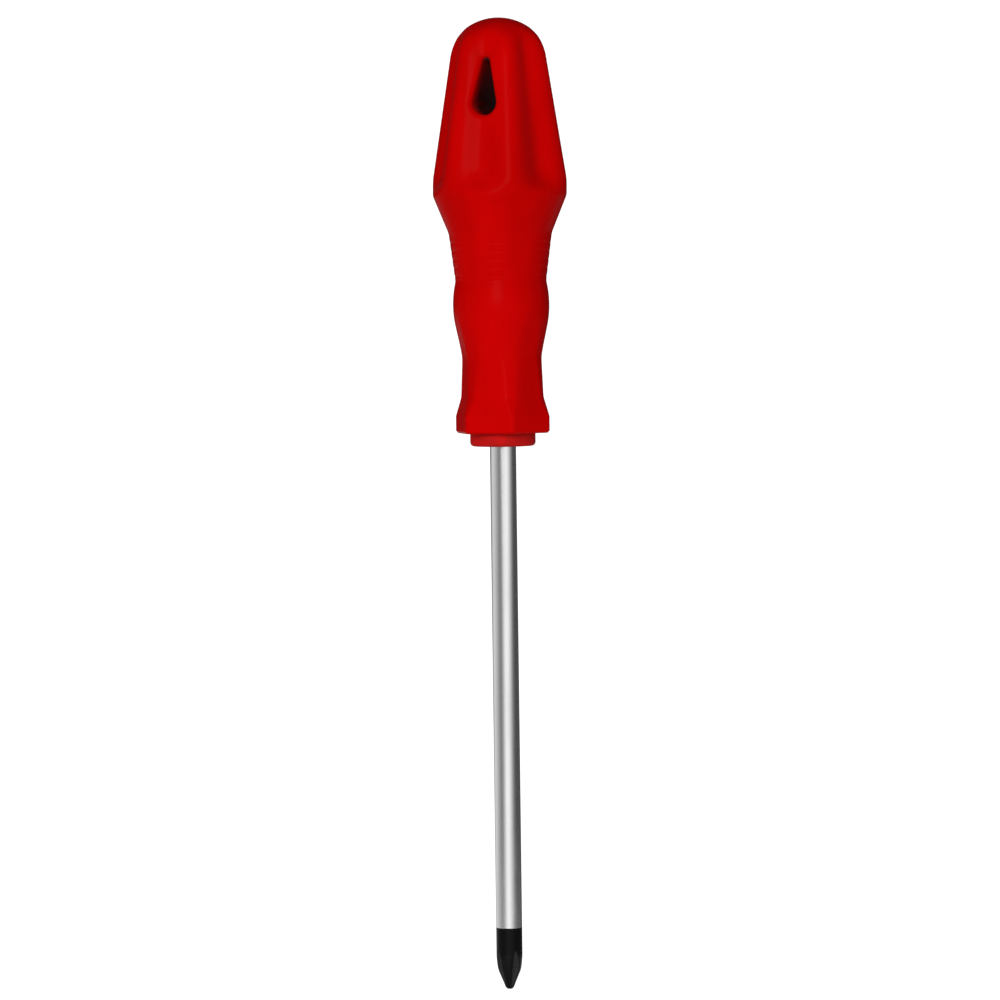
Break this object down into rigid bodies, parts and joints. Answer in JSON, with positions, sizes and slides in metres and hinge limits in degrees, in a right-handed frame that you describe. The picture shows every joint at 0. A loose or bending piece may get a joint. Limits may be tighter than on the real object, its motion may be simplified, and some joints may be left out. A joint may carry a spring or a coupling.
{
  "type": "screwdriver",
  "caption": "Cross-head screwdriver: fixed round plated blade with a blackened tip, and a red moulded handle with a fluted bell, ring crest, hexagonal nose and hanging hole.",
  "frame": {"origin": "on the tool's axis, at the centre of the hanging hole's round lower end", "axes": "+Z along the tool's axis towards the butt, tip down; +Y along the hanging hole; +X completes the frame"},
  "size_m": [0.0317, 0.0314, 0.223],
  "materials": {
    "blade_steel": "bright plated bar, black oxide on the last 14 mm",
    "core_plastic": "hard red moulded plastic, satin",
    "grip_plastic": "red moulded plastic, satin, fine mould texture"
  },
  "bodies": {
    "root": {"blade": "blade_steel", "handle_core": "core_plastic", "grip": "grip_plastic"}
  },
  "joints": []
}
